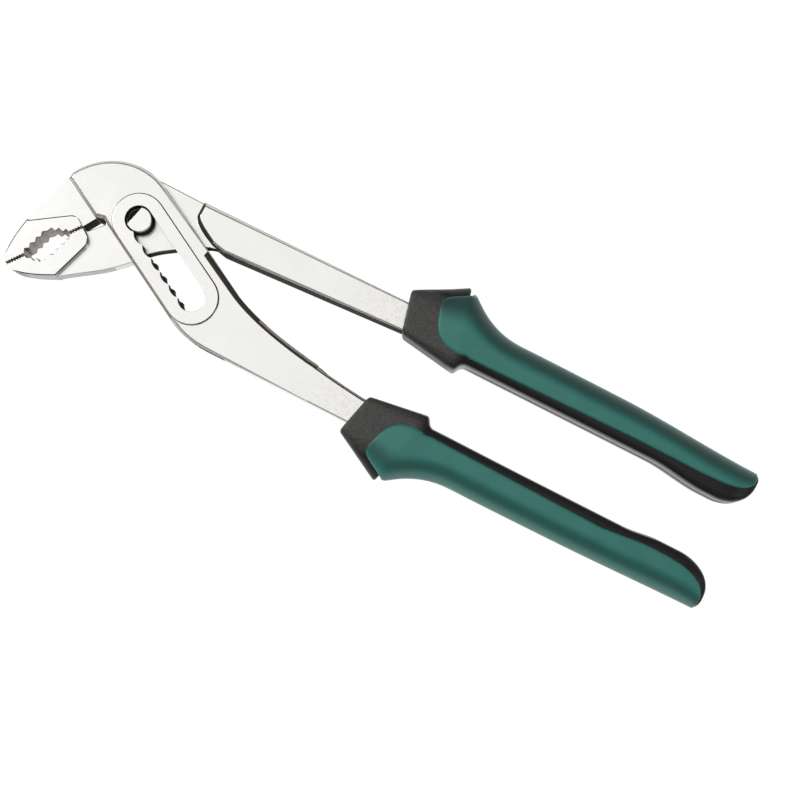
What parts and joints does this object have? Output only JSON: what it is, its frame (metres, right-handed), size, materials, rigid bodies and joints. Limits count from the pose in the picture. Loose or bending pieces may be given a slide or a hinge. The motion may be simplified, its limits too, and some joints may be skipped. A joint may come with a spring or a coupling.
{
  "type": "water pump pliers",
  "caption": "Box-joint water pump pliers with a notched slot, a pivot pin that moves along it, toothed jaws with a pipe hollow, and two-component grips with finger guards.",
  "frame": {"origin": "bottom centre of the box round the closed pliers, which lie on their back face", "axes": "+X along the handles from the jaws to the grip ends, +Y from the lower grip to the upper grip, +Z out of the front face"},
  "size_m": [0.2498, 0.0696, 0.0176],
  "materials": {
    "satin_steel": "bright satin plating",
    "black_plastic": "matte, fine grain",
    "green_cover": "soft matte"
  },
  "bodies": {
    "slotted_half": {"slotted_arm": "satin_steel", "lower_grip_core": "black_plastic", "lower_grip_sleeve": "green_cover"},
    "pin": {"pivot_pin": "satin_steel"},
    "through_half": {"through_arm": "satin_steel", "upper_grip_core": "black_plastic", "upper_grip_sleeve": "green_cover"}
  },
  "joints": [
    {"name": "position_slide", "type": "slide", "parent": "slotted_half", "child": "pin", "axis": [0.8755, -0.4833, 0], "range_m": [0, 0.0312]},
    {"name": "handle_pivot", "type": "hinge", "parent": "pin", "child": "through_half", "pos_m": [-0.09062, 0.006, 0.0088], "axis": [0, 0, 1], "range_deg": [0, 64]}
  ]
}
